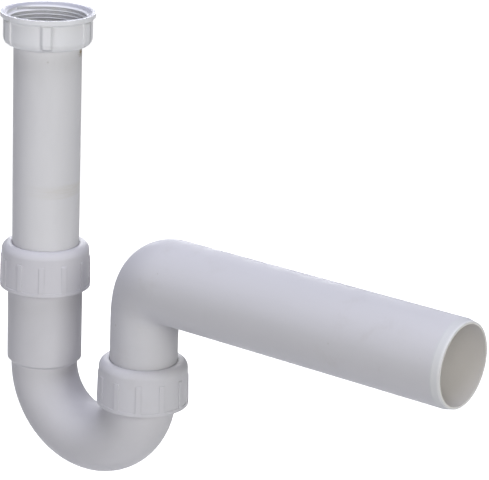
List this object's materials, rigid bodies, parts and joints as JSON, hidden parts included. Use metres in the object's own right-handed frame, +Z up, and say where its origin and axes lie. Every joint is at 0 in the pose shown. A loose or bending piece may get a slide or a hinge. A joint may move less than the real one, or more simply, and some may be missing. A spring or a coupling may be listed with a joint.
{
  "type": "tubular trap",
  "caption": "White plastic tubular trap: threaded inlet with union nut, long vertical tube, adjustable U-bend between compression nuts, and a wide horizontal outlet pipe.",
  "frame": {"origin": "centre of the mouth of the union nut's thread, where the waste fitting's thread enters", "axes": "+Z up along the inlet tube, +X along the outlet pipe, away from the inlet"},
  "size_m": [0.3212, 0.0554, 0.275],
  "materials": {
    "white_polypropylene": "satin moulded",
    "grey_rubber": "matt"
  },
  "bodies": {
    "inlet": {"inlet_tube": "white_polypropylene", "inlet_flat_gasket": "grey_rubber"},
    "union_nut": {"inlet_union_nut": "white_polypropylene"},
    "bend": {"trap_bend": "white_polypropylene", "trap_inlet_cone_seal": "grey_rubber", "trap_outlet_cone_seal": "grey_rubber"},
    "inlet_ring": {"trap_inlet_pressure_ring": "white_polypropylene"},
    "inlet_nut": {"trap_inlet_nut": "white_polypropylene"},
    "outlet_ring": {"trap_outlet_pressure_ring": "white_polypropylene"},
    "outlet_nut": {"trap_outlet_nut": "white_polypropylene"},
    "outlet": {"outlet_elbow_pipe": "white_polypropylene"}
  },
  "joints": [
    {"name": "union_nut_turn", "type": "hinge", "parent": "inlet", "child": "union_nut", "pos_m": [0, 0, 0], "axis": [0, 0, 1], "continuous": true},
    {"name": "bend_slide", "type": "slide", "parent": "inlet", "child": "bend", "axis": [0, 0, -1], "range_m": [-0.016, 0.035]},
    {"name": "inlet_ring_rise", "type": "slide", "parent": "bend", "child": "inlet_ring", "axis": [0, 0, 1], "range_m": [0, 0.0151]},
    {"name": "inlet_nut_turn", "type": "hinge", "parent": "inlet_ring", "child": "inlet_nut", "pos_m": [0, 0, -0.1655], "axis": [0, 0, 1], "range_deg": [0, 1800]},
    {"name": "outlet_ring_rise", "type": "slide", "parent": "bend", "child": "outlet_ring", "axis": [0, 0, 1], "range_m": [0, 0.0151]},
    {"name": "outlet_nut_turn", "type": "hinge", "parent": "outlet_ring", "child": "outlet_nut", "pos_m": [0.0775, 0, -0.2203], "axis": [0, 0, 1], "range_deg": [0, 1800]},
    {"name": "outlet_swivel", "type": "hinge", "parent": "bend", "child": "outlet", "pos_m": [0.0775, 0, -0.142], "axis": [0, 0, 1], "range_deg": [-135, 135]}
  ],
  "couplings": [
    {"joint": "inlet_ring_rise", "follows": "inlet_nut_turn", "m_per_rad": 0.00047746},
    {"joint": "outlet_ring_rise", "follows": "outlet_nut_turn", "m_per_rad": 0.00047746}
  ]
}
